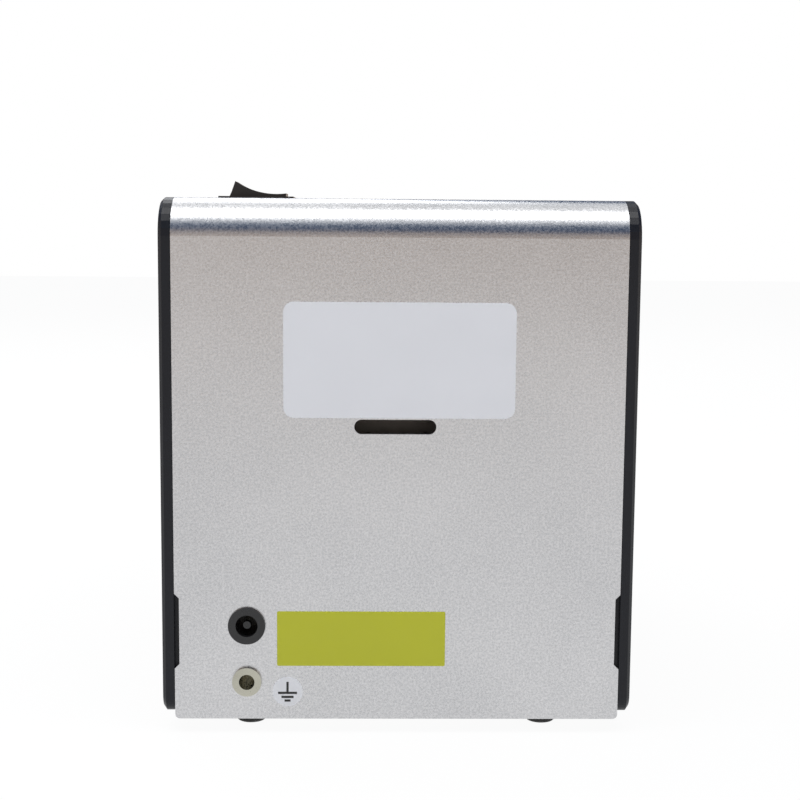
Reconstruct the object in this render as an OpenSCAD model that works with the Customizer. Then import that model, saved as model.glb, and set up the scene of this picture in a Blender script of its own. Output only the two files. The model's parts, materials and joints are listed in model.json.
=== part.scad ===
// Automatic screw feeder: hopper, lifting scoops, vibrating rail and swinging brush in a bench-top case.
// Front is -Y, back is +Y. Z = 0 is the underside of the feet. Millimetres.

/* [Case] */
// Width over both side covers
body_w = 124; // [116:1:140]
// Depth from the front cover to the rear cover
body_d = 165.5; // [165:0.5:185]
// Height from the table to the top of the case
body_h = 141; // [139:1:155]
// Thickness of a side cover
cover_t = 3.2; // [2.6:0.2:4.4]
// Thickness of the sheet covers
sheet_t = 1.2; // [1:0.1:1.6]
// Outside bend radius of the rear cover
bend_r = 10; // [6:1:14]
// Outside radius of the lid's nose
nose_r = 25; // [18:1:30]
// Thickness of the base plate
base_t = 1.5; // [1.2:0.1:2.5]
// Thickness of both bulkheads
plate_t = 2; // [1.5:0.25:2.5]
// Depth of the deck in front of the hopper
deck_d = 26; // [26:1:32]
// Depth of the deck below the top of the case
deck_in = 49; // [47.5:0.5:53]
// Width of the ledge that carries the sheet covers
ledge_w = 5; // [3:0.5:6]
// Chamfer round the outside of a side cover
cover_edge = 0.9; // [0.4:0.1:1.4]
// Radius of a tie rod
tie_r = 4; // [3.5:0.25:5]

/* [Feet] */
// Height of a foot
foot_h = 4; // [3:0.5:8]
// Radius of a foot at the base plate
foot_r = 5; // [4:0.25:8]
// Half the distance between left and right feet
foot_x = 39.5; // [36:0.5:48]
// Distance of the feet from the ends of the case
foot_in = 12; // [10:0.5:20]

/* [Lid] */
// Thickness of the lid
lid_t = 2.8; // [2:0.2:3.6]
// Radius of the round bead along the hinge
bead_r = 4.5; // [4:0.25:5]
// Radius of a hinge pin
hinge_pin_r = 1.5; // [1:0.25:2]
// Length of hinge pin inside the lid
hinge_pin_l = 8; // [5:1:14]
// Half the width of the notch over the rail
lid_notch = 16; // [15.5:0.5:20]

/* [Hopper] */
// Half the inside width of the hopper
hopper_x = 52; // [44:1:53]
// Wall of the hopper
hopper_t = 2.5; // [1.5:0.25:3]
// Depth of the hopper's rim below the top of the case
rim_in = 19; // [17:1:25]
// Height that the floor gains from the scoops to the side walls
floor_rise = 25; // [16:1:28]

/* [Scoops and lift] */
// Thickness of a scoop
scoop_t = 6; // [4:0.5:7]
// Gap between a scoop and the ends of the hopper
scoop_end = 5; // [5:0.5:12]
// Height of a scoop
scoop_h = 32; // [30:1:34]
// Slope of a scoop's top edge towards the rail
scoop_slope = 4; // [2:0.5:5]
// Height of the scoops above the rail when lifted
scoop_over = 1; // [0:0.25:2]
// Height of an arm of the carriage
arm_h = 8; // [6:0.5:9]
// Radius of a guide rod
guide_r = 3; // [2.5:0.25:4]
// Half the distance between the guide rods
guide_x = 24; // [22:0.5:30]
// Height of the carriage block
block_h = 16; // [12:1:20]
// Depth of the carriage block
block_d = 10; // [9:0.5:10]
// Wall of a guide bush
bush_t = 2; // [1:0.25:2.5]

/* [Gears] */
// Module of all gears
gear_m = 1; // [0.94:0.02:1]
// Teeth of the pinion that lifts the carriage
lift_teeth = 15; // [15:1:15]
// Teeth of the pinion that swings the brush
brush_teeth = 36; // [32:2:36]
// Thickness of the gears
gear_t = 5; // [4:0.5:5.5]
// Width of the rack's teeth
rack_w = 6; // [4:0.5:6]
// Total play between two teeth in mesh
backlash = 0.3; // [0.2:0.05:0.4]

/* [Drive] */
// Room between the motor and the back of the case
motor_gap = 2.5; // [2:0.25:4]
// Least height of the drive shaft above the base plate
shaft_h = 39.5; // [39:0.5:40]
// Radius of the drive shaft
shaft_r = 3; // [2.5:0.25:3]
// Distance from the rear bulkhead's rear face to the motor plate
drive_d = 35; // [34:0.5:36]
// Thickness of the motor plate
motor_plate_t = 3; // [2:0.5:3.5]
// Height of the gearbox's middle above the drive shaft
motor_up = 7; // [5:0.5:7]
// Radius of the gearbox
gearbox_r = 18.5; // [16:0.5:19]
// Length of the gearbox
gearbox_l = 18; // [14:1:18]
// Radius of the motor
motor_r = 14; // [12:0.5:16]
// Length of the motor
motor_l = 12; // [8:1:12]

/* [Brush] */
// Depth of the brush's shaft below the top of the case
brush_in = 15; // [14.5:0.5:15.5]
// Radius of the brush shaft
brush_shaft_r = 2.5; // [2:0.25:2.75]
// Gap between the bristles and the rail when the brush hangs straight down
brush_gap = 2; // [1:0.5:4]
// Length of the bristles
bristle_l = 11; // [8:1:13]
// Width of the brush along the rail
brush_w = 10; // [6:1:16]

/* [Rail] */
// Gap between the two rail bars, for the screws' shanks
rail_gap = 3.2; // [1.6:0.1:4]
// Width of a rail bar
rail_w = 6; // [5:0.25:6.5]
// Height of a rail bar
rail_h = 13; // [11:1:14]
// Height of the rail's top above the deck
rail_up = 7; // [7:0.25:8]
// Height of the rail holder
holder_h = 16; // [14:1:17]
// Travel of the rail each way as it vibrates
shake = 0.4; // [0.2:0.05:0.5]
// Thickness of a leaf spring
leaf_t = 0.8; // [0.4:0.1:1]
// Radius of the vibration motor
vibro_r = 6; // [5:0.25:6]

/* [Pickup] */
// Reach of the pickup bracket in front of the case
pickup_d = 14.5; // [14.5:0.5:18]
// Thickness of the pickup gate
gate_t = 2; // [1.5:0.25:2.25]
// Radius of the gate's pin
gate_pin_r = 1; // [0.75:0.25:1.25]

/* [Back] */
// Length of the slot
slot_l = 21.3; // [14:0.1:26]
// Width of the slot
slot_w = 3.8; // [3:0.1:6]
// Height of the slot above the table
slot_z = 82.2; // [74:0.2:84]
// Distance of both sockets from the side of the case
socket_in = 22.3; // [18:0.1:30]
// Height of the power jack
jack_z = 29.3; // [27:0.1:34]
// Radius of the power jack's flange
jack_r = 4.9; // [4.5:0.1:6]
// Height of the ground socket
ground_z = 14.2; // [13.5:0.1:15]
// Radius of the ground socket's bore
ground_r = 2.05; // [1.9:0.05:2.2]
// How far the ground socket stands out
ground_out = 1; // [0.6:0.1:1.5]
// Width of the white plate
plate_w = 60; // [40:1:70]
// Height of the white plate
plate_h = 30; // [20:1:32]
// Width of the yellow plate
caution_w = 44.3; // [30:0.1:46]
// Height of the yellow plate
caution_h = 14.7; // [10:0.1:18]
// Thickness of the plates
label_t = 0.2; // [0.1:0.05:0.4]
// Depth of the notches in the rear cover's side edges
notch_d = 1.25; // [0.5:0.05:2]

/* [Switch] */
// Distance of the switch from the side of the case
switch_side = 22; // [20:0.5:24]
// Distance of the switch from the back
switch_in = 45; // [44:0.5:46]
// Length of the rocker
rocker_l = 16; // [12:0.5:17]
// Width of the rocker
rocker_w = 9; // [7:0.5:10]
// Tilt of the rocker at rest
rocker_tilt = 13; // [8:1:15]

/* [Hidden] */
fit = 0.05;          // radial play of a turning or sliding fit
seat = 0.02;         // radial play of a fixed fit
gap = 0.5;           // play beside moving plates
edge_gap = 0.1;      // play of a fixed edge
lid_gap = 1.4;       // gap behind the lid, which its bead turns in
screw_r = 1.5;       // M3 screws
head_r = 2.75;
head_h = 2;
m2_r = 1;            // M2 screws
m2_head_r = 1.9;
m2_head_h = 1.2;
$fn = 48;

overall_d = body_d + pickup_d + ground_out;
y_back = overall_d / 2 - ground_out;
y_front = y_back - body_d;
y_tip = y_front - pickup_d;
socket_x = body_w / 2 - socket_in;
switch_x = body_w / 2 - switch_side;
z_base = foot_h;
z_floor = z_base + base_t;
x_in = body_w / 2 - cover_t;
deck_h = body_h - deck_in;
hopper_h = body_h - rim_in;
rail_top = deck_h + rail_up;
brush_z = body_h - brush_in;
y_hop = y_front + deck_d;
y_motor = y_back - motor_gap - motor_l - gearbox_l - motor_plate_t;
y_drive = y_motor - drive_d;
y_bulk = y_drive - plate_t;
hinge_y = y_bulk + 3;
hinge_z = body_h - bead_r;
y_sheet = hinge_y + bead_r + lid_gap;
cover_z = z_base + 1.3;
cover_corner = 4;
ledge_t = 2;          // thickness of the ledge under a sheet cover
ledge_top = cover_z + sheet_t + edge_gap + ledge_t + edge_gap;

scoop_x = rail_gap / 2 + rail_w + gap;
lift_r = gear_m * lift_teeth / 2;
lift = PI * lift_r;
brush_r = gear_m * brush_teeth / 2;
gear_distance = gear_m * floor((brush_z - z_floor - shaft_h) / gear_m + 0.01);
sector_r = gear_distance - brush_r;
sector_teeth = 2 * sector_r / gear_m;
shaft_z = brush_z - gear_distance;
motor_z = shaft_z + motor_up;
brush_rest = 90 * brush_teeth / sector_teeth;
scoop_top = rail_top + scoop_over - lift;
arm_z = scoop_top - scoop_h - arm_h;
arm_y = y_hop + scoop_end;
scoop_l = y_bulk - scoop_end - arm_y;
carriage_y = y_drive + 8;
block_z = shaft_z + shaft_r + 2.5;
holder_z = rail_top - rail_h - holder_h;
holder_x = rail_gap / 2 + rail_w - 0.1;
rail_y = y_bulk - 7;
rail_end = y_front - 8;
leaf_w = 12;
leaf_z = z_floor + 7;
leaf_y = [y_hop + 10, y_bulk - 15];
spring_base_h = 16.5;
vibro_z = holder_z - vibro_r - 4;
vibro_y = (leaf_y[0] + leaf_y[1]) / 2 - 7;
rack_y = carriage_y + block_d + 3;
gear_y = rack_y + rack_w + 1.5;
floor_z = scoop_top + scoop_slope + 0.5;
floor_x = scoop_x + scoop_t + gap;
window_x = 9;
window_z = holder_z - 4;
window_top = rail_top + 7;
add = 0.8 * gear_m;
ded = 1.1 * gear_m;
tie_at = [[y_back - 11.5, body_h - 21], [y_front + 12, deck_h - 32], [y_motor + 10, 15], [y_front + 12, 15]];
post_x = 9.5;
post_w = 5.5;
gate_x = post_x + 2.5;
gate_y = rail_end - 3.3;
gate_z = rail_top - 12.7;
knuckle_r = 2.5;
guard_z = rail_top + 4.5;
guard_y = y_front + 13;
switch_y = y_back - switch_in;
rocker_z = body_h - sheet_t;
board_x = -x_in + 3.8;
board_z = z_floor + 20;
board_d = y_back - y_motor - 9.5;
board_h = body_h - 55;

// ---- Shared shapes ----

// Extrudes a drawing made in Y and Z from x0 to x1
module along_x(x0, x1) {
    translate([x0, 0, 0]) rotate([90, 0, 90]) linear_extrude(x1 - x0) children();
}

// Extrudes a drawing made in X and Z from y0 to y1
module along_y(y0, y1) {
    translate([0, y1, 0]) rotate([90, 0, 0]) linear_extrude(y1 - y0) children();
}

module rod_x(y, z, x0, x1, r) {
    along_x(x0, x1) translate([y, z]) circle(r);
}

module rod_y(x, z, y0, y1, r) {
    along_y(y0, y1) translate([x, z]) circle(r);
}

module block(x0, x1, y0, y1, z0, z1) {
    translate([x0, y0, z0]) cube([x1 - x0, y1 - y0, z1 - z0]);
}

// Copies its children to both sides of the middle
module both() {
    children();
    mirror([1, 0, 0]) children();
}

// What a radius takes off a corner at the origin, with the body towards +X and +Y
module corner(r) {
    difference() {
        translate([-1, -1]) square([r + 1, r + 1]);
        translate([r, r]) circle(r);
    }
}

// Rectangle with one radius, centred
module plate_2d(w, h, r) {
    difference() {
        square([w, h], center = true);
        for (sx = [-1, 1], sy = [-1, 1])
            scale([sx, sy]) translate([-w / 2, -h / 2]) corner(r);
    }
}

// Screw with its head's seat at the origin and its shank towards -Z; the head has a socket
module screw(r, l, hr, hh) {
    difference() {
        union() {
            translate([0, 0, -l]) cylinder(r = r, h = l);
            cylinder(r = hr, h = hh);
        }
        translate([0, 0, hh * 0.4]) cylinder(r = hr * 0.5, h = hh, $fn = 6);
    }
}

// Half the angle of a tooth at the distance rho from the centre of a gear of radius r
function involute(a) = tan(a) * 180 / PI - a;
function half_tooth(r, rho) =
    let (rb = r * cos(20), at = rho <= rb ? 0 : acos(rb / rho))
    (45 * gear_m - backlash / 4 * 180 / PI) / r + involute(20) - involute(at);

// Corners of one tooth that points along the angle a
function flank_radii(r) =
    r * cos(20) > r - ded
        ? [r - ded, r * cos(20), r, r + add / 2, r + add]
        : [r - ded, r, r + add / 2, r + add];
function tooth(r, a) =
    let (rhos = flank_radii(r), n = len(rhos))
    concat(
        [for (rho = rhos) rho * [cos(a - half_tooth(r, rho)), sin(a - half_tooth(r, rho))]],
        [for (i = [n - 1 : -1 : 0])
            rhos[i] * [cos(a + half_tooth(r, rhos[i])), sin(a + half_tooth(r, rhos[i]))]]
    );

// Toothed wheel with a tooth along +X turned by a
module gear_2d(r, teeth, a) {
    polygon([for (i = [0 : teeth - 1]) each tooth(r, a + i * 360 / teeth)]);
}

// ---- Case ----

// Outline of a side cover, drawn in at the edge by inset
module side_outline(inset) {
    y0 = y_front + inset;
    y1 = y_back - inset;
    z0 = cover_z + inset;
    z1 = body_h - inset;
    difference() {
        translate([y0, z0]) square([y1 - y0, z1 - z0]);
        translate([y0, z0]) corner(cover_corner);
        translate([y1, z0]) scale([-1, 1]) corner(cover_corner);
        translate([y0, z1]) scale([1, -1]) corner(nose_r - inset);
        translate([y1, z1]) scale([-1, -1]) corner(bend_r - inset);
    }
}

// Left side cover: chamfered plate, ledge for the sheet covers and counterbores for its screws
module side_cover() {
    color("#17191d") difference() {
        union() {
            hull() {
                along_x(x_in, body_w / 2 - cover_edge) side_outline(0, $fn = 32);
                along_x(x_in, body_w / 2) side_outline(cover_edge, $fn = 32);
            }
            difference() {
                along_x(x_in - ledge_w, x_in) difference() {
                    side_outline(sheet_t + edge_gap);
                    side_outline(sheet_t + edge_gap + ledge_t);
                }
                block(0, body_w, y_front - 1, y_sheet + sheet_t + edge_gap, deck_h - bend_r, body_h + 1);
            }
        }
        for (at = tie_at) {
            rod_x(at[0], at[1], x_in - 1, body_w / 2 + 1, screw_r + 0.2);
            rod_x(at[0], at[1], body_w / 2 - head_h, body_w / 2 + 1, head_r + 0.25);
        }
        rod_x(hinge_y, hinge_z, x_in - 1, x_in + cover_t - 1, hinge_pin_r + seat);
    }
}

module side_cover_left() {
    mirror([1, 0, 0]) side_cover();
}

module side_cover_right() {
    side_cover();
}

module side_screws() {
    color("#3a3c40") both() for (at = tie_at)
        translate([body_w / 2 - head_h, at[0], at[1]]) rotate([0, 90, 0]) screw(screw_r, 8, head_r, head_h - 0.2);
}

module tie_rods() {
    color("silver") for (at = tie_at) difference() {
        rod_x(at[0], at[1], -x_in, x_in, tie_r);
        both() rod_x(at[0], at[1], x_in - 9, x_in + 1, screw_r + seat);
    }
}

// Notch in a vertical edge of the rear cover, in X and Z from the edge
module edge_notch() {
    z0 = z_base + 13.6;
    z1 = z0 + 20.2;
    polygon([[1, z0], [0, z0], [-notch_d, z0 + notch_d], [-notch_d, z1 - notch_d], [0, z1], [1, z1]]);
}

// One bent sheet: back, top and the lip behind the lid
module rear_cover() {
    half = x_in - edge_gap;
    color("#b9babb") difference() {
        along_x(-half, half) {
            translate([y_back - sheet_t, z_base]) square([sheet_t, body_h - bend_r - z_base]);
            translate([y_sheet, body_h - sheet_t]) square([y_back - bend_r - y_sheet, sheet_t]);
            translate([y_sheet, body_h - 8]) square([sheet_t, 8]);
            intersection() {
                difference() {
                    translate([y_back - bend_r, body_h - bend_r]) circle(bend_r);
                    translate([y_back - bend_r, body_h - bend_r]) circle(bend_r - sheet_t);
                }
                translate([y_back - bend_r, body_h - bend_r]) square(bend_r);
            }
        }
        along_y(y_back - bend_r, y_back + 1) {
            both_2d() translate([half, 0]) edge_notch();
            both_2d() translate([half, z_base]) scale([-1, 1]) corner(1.3);
            translate([1, slot_z]) slot_2d();
            translate([socket_x, jack_z]) circle(jack_r - 0.8);
            translate([socket_x, ground_z]) circle(ground_r + 1);
        }
        block(switch_x - rocker_l / 2 - 2, switch_x + rocker_l / 2 + 2,
            switch_y - rocker_w / 2 - 1.5, switch_y + rocker_w / 2 + 1.5, body_h - 3, body_h + 1);
    }
}

module both_2d() {
    children();
    mirror([1, 0]) children();
}

module slot_2d() {
    half = (slot_l - slot_w) / 2;
    square([2 * half, slot_w], center = true);
    for (s = [-1, 1]) translate([s * half, 0]) circle(slot_w / 2);
}

// Front sheet with the deck behind it and the opening for the rail
module front_cover() {
    half = x_in - edge_gap;
    bend = 6;
    color("#b9babb") difference() {
        along_x(-half, half) {
            translate([y_front, z_base]) square([sheet_t, deck_h - bend - z_base]);
            translate([y_front + bend, deck_h - sheet_t])
                square([deck_d - plate_t - bend, sheet_t]);
            intersection() {
                difference() {
                    translate([y_front + bend, deck_h - bend]) circle(bend);
                    translate([y_front + bend, deck_h - bend]) circle(bend - sheet_t);
                }
                translate([y_front, deck_h - bend]) square(bend);
            }
        }
        block(-window_x, window_x, y_front - 1, y_hop, window_z, deck_h + 1);
    }
}

module base_plate() {
    half = x_in - edge_gap;
    color("silver") difference() {
        block(-half, half, y_front + sheet_t, y_back - sheet_t, z_base, z_floor);
        both() for (y = [y_front + foot_in, y_back - foot_in])
            translate([foot_x, y, z_base - 1]) cylinder(r = screw_r + 0.2, h = base_t + 2);
    }
}

// Rubber feet with a well for the screw
module feet() {
    color("#202124") both() for (y = [y_front + foot_in, y_back - foot_in])
        translate([foot_x, y, 0]) rotate_extrude() difference() {
            polygon([[screw_r + 0.2, 0], [foot_r - 1.3, 0], [foot_r - 0.7, 0.6], [foot_r, foot_h],
                [screw_r + 0.2, foot_h]]);
            translate([0, -1]) square([head_r + 0.3, foot_h - 0.5]);
        }
}

module foot_screws() {
    color("silver") both() for (y = [y_front + foot_in, y_back - foot_in]) translate([foot_x, y, 0]) {
        translate([0, 0, foot_h - 1.5]) rotate([180, 0, 0]) screw(screw_r, base_t + 4.5, head_r, foot_h / 2 - 0.4);
        translate([0, 0, z_floor]) difference() {
            cylinder(r = 3.1, h = 2.4, $fn = 6);
            translate([0, 0, -1]) cylinder(r = screw_r + seat, h = 5);
        }
    }
}

// Corners taken off a bulkhead where the side covers' ledges pass
module ledge_relief(y) {
    both() block(x_in - ledge_w - edge_gap, x_in + 1, y - 1, y + plate_t + 1, z_floor - 1, ledge_top);
}

module front_bulkhead() {
    half = x_in - edge_gap;
    color("silver") difference() {
        block(-half, half, y_hop - plate_t, y_hop, z_floor, hopper_h);
        ledge_relief(y_hop - plate_t);
        block(-window_x, window_x, y_hop - plate_t - 1, y_hop + 1, window_z, window_top);
        both() rod_y(hopper_x - 8, hopper_h - 6, y_hop - 5, y_hop + 1, screw_r + seat);
    }
}

// Bulkhead between hopper and drive, with two slots for the arms of the lift
module rear_bulkhead() {
    half = x_in - edge_gap;
    color("silver") difference() {
        union() {
            block(-half, half, y_bulk, y_drive, z_floor, hopper_h);
            block(-12, 12, y_bulk, y_drive, hopper_h - 1, brush_z + 5.5);
        }
        ledge_relief(y_bulk);
        both() block(scoop_x - gap, scoop_x + scoop_t + gap, y_bulk - 1, y_drive + 1,
            arm_z - 2, arm_z + arm_h + lift + 3);
        rod_y(0, shaft_z, y_bulk - 1, y_drive + 1, shaft_r + 1.5);
        rod_y(0, brush_z, y_bulk - 1, y_drive + 1, brush_shaft_r + 1.5);
        both() rod_y(hopper_x - 8, hopper_h - 6, y_bulk - 1, y_drive + 1, screw_r + seat);
    }
}

// Tray with two sloping floors that lead down to the scoops
module hopper() {
    rim = 2;
    wall_z = floor_z + floor_rise;
    color("#d8d9da") difference() {
        union() {
            along_y(y_hop, y_bulk) both_2d() polygon([[floor_x, floor_z - 3.5], [floor_x, floor_z],
                [hopper_x, wall_z], [hopper_x, hopper_h], [x_in - edge_gap, hopper_h],
                [x_in - edge_gap, hopper_h - rim], [hopper_x + hopper_t, hopper_h - rim],
                [hopper_x + hopper_t, wall_z - 3.5]]);
            for (y = [y_hop, y_bulk - hopper_t]) along_y(y, y + hopper_t) both_2d()
                polygon([[0, floor_z - 3.5], [floor_x, floor_z - 3.5], [hopper_x, wall_z - 3.5],
                    [hopper_x, hopper_h], [0, hopper_h]]);
        }
        block(-window_x, window_x, y_hop - 1, y_hop + hopper_t + 1, window_z, window_top);
        both() rod_y(hopper_x - 8, hopper_h - 6, y_hop - 1, y_bulk + 1, screw_r + 0.2);
        block(-brush_shaft_r - 1.5, brush_shaft_r + 1.5, y_bulk - hopper_t - 1, y_bulk + 1,
            brush_z - brush_shaft_r - 1.25, body_h);
    }
}

module hopper_screws() {
    l = hopper_t + plate_t + 2;
    color("silver") both() translate([hopper_x - 8, 0, hopper_h - 6]) {
        translate([0, y_hop + hopper_t, 0]) rotate([-90, 0, 0]) screw(screw_r, l, head_r, head_h);
        translate([0, y_bulk - hopper_t, 0]) rotate([90, 0, 0]) screw(screw_r, l, head_r, head_h);
    }
}

// Clear lid: flat top, round nose and front lip, with a bead along the hinge
module lid() {
    half = x_in - gap;
    color([0.8, 0.86, 0.9, 0.4]) difference() {
        along_x(-half, half) {
            difference() {
                side_outline(edge_gap);
                side_outline(edge_gap + lid_t);
                translate([hinge_y, cover_z]) square([body_d, body_h]);
                translate([y_front - 1, 0]) square([body_d, deck_h + 1]);
            }
            translate([hinge_y, hinge_z]) circle(bead_r - edge_gap);
        }
        both() rod_x(hinge_y, hinge_z, x_in - hinge_pin_l - 1, x_in, hinge_pin_r + fit);
        block(-lid_notch, lid_notch, y_front - 1, y_front + lid_t + 4, deck_h, rail_top + 18);
    }
}

module lid_pins() {
    color("silver") both()
        rod_x(hinge_y, hinge_z, x_in - hinge_pin_l, x_in + cover_t - 1, hinge_pin_r);
}

// ---- Drive ----

// Upright plate that carries the gearmotor and the rear end of the brush shaft
module motor_plate() {
    half = 40;
    foot = 12;
    color("silver") difference() {
        union() {
            block(-half, half, y_motor, y_motor + motor_plate_t, z_floor, motor_z + gearbox_r + 3);
            block(-12, 12, y_motor, y_motor + motor_plate_t, shaft_z, brush_z + 7);
            block(-half, half, y_motor, y_motor + foot, z_floor, z_floor + motor_plate_t);
        }
        rod_y(0, shaft_z, y_motor - 1, y_motor + motor_plate_t + 1, 6 + seat);
        rod_y(0, brush_z, y_motor - 1, y_motor + motor_plate_t + 1, brush_shaft_r + 1.5);
        for (sx = [-1, 1], sz = [-1, 1])
            rod_y(sx * 11, motor_z + sz * 11, y_motor - 1, y_motor + motor_plate_t + 1, screw_r + 0.1);
        both() translate([half - 8, y_motor + foot - 4, z_floor - 1]) cylinder(r = screw_r + 0.1, h = 8);
    }
}

module motor_screws() {
    color("silver") {
        for (sx = [-1, 1], sz = [-1, 1]) translate([sx * 11, y_motor, motor_z + sz * 11])
            rotate([90, 0, 0]) screw(screw_r, motor_plate_t + 3, head_r - 0.4, 1);
        both() translate([32, y_motor + 8, z_floor + motor_plate_t])
            screw(screw_r, motor_plate_t, head_r, head_h);
    }
}

module gearbox() {
    y0 = y_motor + motor_plate_t;
    color("#a9abad") difference() {
        union() {
            rod_y(0, motor_z, y0, y0 + gearbox_l, gearbox_r);
            rod_y(0, shaft_z, y_motor + 0.5, y0 + 1, 6);
        }
        rod_y(0, shaft_z, y_motor, y0 + 6, shaft_r + fit);
        for (sx = [-1, 1], sz = [-1, 1]) rod_y(sx * 11, motor_z + sz * 11, y0 - 1, y0 + 4, screw_r + seat);
        for (y = [y0 + 4, y0 + gearbox_l - 4]) along_y(y, y + 0.6) translate([0, motor_z]) difference() {
            circle(gearbox_r + 1);
            circle(gearbox_r - 0.5);
        }
    }
}

module motor_can() {
    y0 = y_motor + motor_plate_t + gearbox_l;
    color("#8f9194") difference() {
        union() {
            rod_y(0, motor_z, y0, y0 + motor_l - 1, motor_r);
            rod_y(0, motor_z, y0 + motor_l - 1, y0 + motor_l, 4);
            for (s = [-1, 1]) block(s * 8 - 1.5, s * 8 + 1.5, y0 + motor_l - 1.5, y0 + motor_l,
                motor_z - 0.4, motor_z + 0.4);
        }
        for (s = [-1, 1]) block(s * (motor_r + 0.5) - 1.5, s * (motor_r + 0.5) + 1.5,
            y0 + 3, y0 + motor_l - 3, motor_z - 4, motor_z + 4);
    }
}

module drive_shaft() {
    color("silver") rod_y(0, shaft_z, y_bulk + 0.2, y_motor + motor_plate_t + 5, shaft_r);
}

// Pinion that turns the drive into the lift of the carriage
module lift_pinion() {
    y0 = rack_y;
    color("#c8a24a") difference() {
        union() {
            along_y(y0, y0 + rack_w) translate([0, shaft_z]) gear_2d(lift_r, lift_teeth, 0);
            rod_y(0, shaft_z, y0 - 4, y0, lift_r - 2);
        }
        rod_y(0, shaft_z, y0 - 5, y0 + rack_w + 1, shaft_r + seat);
    }
}

// Pinion that swings the sector gear
module brush_pinion() {
    color("#e3e0d6") difference() {
        along_y(gear_y, gear_y + gear_t) translate([0, shaft_z]) gear_2d(brush_r, brush_teeth, 90);
        rod_y(0, shaft_z, gear_y - 1, gear_y + gear_t + 1, shaft_r + seat);
        for (i = [0 : 5])
            rod_y((brush_r + shaft_r) / 2 * cos(i * 60), shaft_z + (brush_r + shaft_r) / 2 * sin(i * 60),
                gear_y - 1, gear_y + gear_t + 1, 3.2);
    }
}

module shaft_bush() {
    color("#c8a24a") difference() {
        rod_y(0, shaft_z, y_bulk, y_drive + 1, shaft_r + 1.5 - seat);
        rod_y(0, shaft_z, y_bulk - 1, y_drive + 2, shaft_r + fit);
    }
}

// ---- Lift ----

// Carriage on the guide rods, with two arms that reach under the hopper
module lift_carriage() {
    y1 = carriage_y + block_d;
    half = guide_x + guide_r + bush_t + 2;
    color("#b4b7ba") difference() {
        union() {
            block(-half, half, carriage_y, y1, block_z, block_z + block_h);
            both() {
                block(scoop_x, scoop_x + scoop_t, arm_y, y1, arm_z, arm_z + arm_h);
                block(scoop_x, scoop_x + scoop_t, carriage_y, y1, arm_z, block_z + 1);
            }
        }
        both() {
            translate([guide_x, carriage_y + block_d / 2, block_z - 1])
                cylinder(r = guide_r + bush_t - 0.4, h = block_h + 2);
            for (y = scoop_screw_y()) translate([scoop_x + scoop_t / 2, y, arm_z - 1])
                cylinder(r = m2_r + 0.1, h = arm_h + 2);
        }
        for (z = rack_screw_z()) rod_y(scoop_x + scoop_t / 2 + 0.6, z, y1 - 6, y1 + 1, m2_r + seat);
    }
}

function scoop_screw_y() = [arm_y + 10, arm_y + scoop_l - 10];
function rack_screw_z() = [block_z + 4, block_z + block_h - 4];

// Two bushes that run on the guide rods
module carriage_bushes() {
    color("#c8a24a") both() translate([guide_x, carriage_y + block_d / 2, block_z])
        difference() {
            cylinder(r = guide_r + bush_t - 0.4 - seat, h = block_h);
            translate([0, 0, -1]) cylinder(r = guide_r + fit, h = block_h + 2);
        }
}

// Rack on the carriage; a gap between its teeth faces the pinion at rest
module lift_rack() {
    y1 = carriage_y + block_d;
    x1 = scoop_x + scoop_t;
    pitch = PI * gear_m;
    half_pitch_w = pitch / 4 - backlash / 4;
    first = -ceil(lift / pitch) - 1;
    z0 = shaft_z + (first - 0.5) * pitch;
    color("#9fa2a5") difference() {
        union() {
            block(lift_r + ded, x1, y1, rack_y + rack_w, z0, block_z + block_h);
            along_y(rack_y, rack_y + rack_w) for (k = [first : 1])
                translate([lift_r, shaft_z + (k + 0.5) * pitch]) polygon([
                    [ded + 0.5, -half_pitch_w - ded * tan(20)], [ded, -half_pitch_w - ded * tan(20)],
                    [-add, -half_pitch_w + add * tan(20)], [-add, half_pitch_w - add * tan(20)],
                    [ded, half_pitch_w + ded * tan(20)], [ded + 0.5, half_pitch_w + ded * tan(20)]]);
        }
        for (z = rack_screw_z()) {
            rod_y(scoop_x + scoop_t / 2 + 0.6, z, y1 - 1, rack_y + rack_w + 1, m2_r + 0.1);
            rod_y(scoop_x + scoop_t / 2 + 0.6, z, rack_y + rack_w - 2, rack_y + rack_w + 1, m2_head_r + 0.15);
        }
    }
}

module rack_screws() {
    color("#3a3c40") for (z = rack_screw_z())
        translate([scoop_x + scoop_t / 2 + 0.6, rack_y + rack_w - 2, z]) rotate([-90, 0, 0])
            screw(m2_r, rack_w + 5, m2_head_r, m2_head_h);
}

module guide_rods() {
    color("silver") both() translate([guide_x, carriage_y + block_d / 2, z_floor])
        cylinder(r = guide_r, h = bridge_z() + 8 - z_floor);
}

function bridge_z() = block_z + block_h + lift + 4;

// Clamp that ties the tops of the guide rods to the bulkhead, and the collars at their feet
module rod_bridge() {
    half = guide_x + guide_r + 5;
    y = carriage_y + block_d / 2;
    color("#b4b7ba") difference() {
        union() {
            block(-half, half, y_drive, carriage_y + block_d, bridge_z(), bridge_z() + 8);
            both() translate([guide_x, y, z_floor]) cylinder(r = guide_r + 3, h = 5);
        }
        both() translate([guide_x, y, z_floor - 1]) cylinder(r = guide_r + seat, h = body_h);
    }
}

// Scoop: upright plate whose top edge slopes down to the rail
module scoop() {
    color("#c3c6c9") difference() {
        along_y(arm_y, arm_y + scoop_l) polygon([[scoop_x, arm_z + arm_h], [scoop_x, scoop_top],
            [scoop_x + scoop_t, scoop_top + scoop_slope], [scoop_x + scoop_t, arm_z + arm_h]]);
        for (y = scoop_screw_y()) translate([scoop_x + scoop_t / 2, y, arm_z])
            cylinder(r = m2_r + seat, h = arm_h + 8);
    }
}

module scoop_left() {
    mirror([1, 0, 0]) scoop();
}

module scoop_right() {
    scoop();
}

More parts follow.
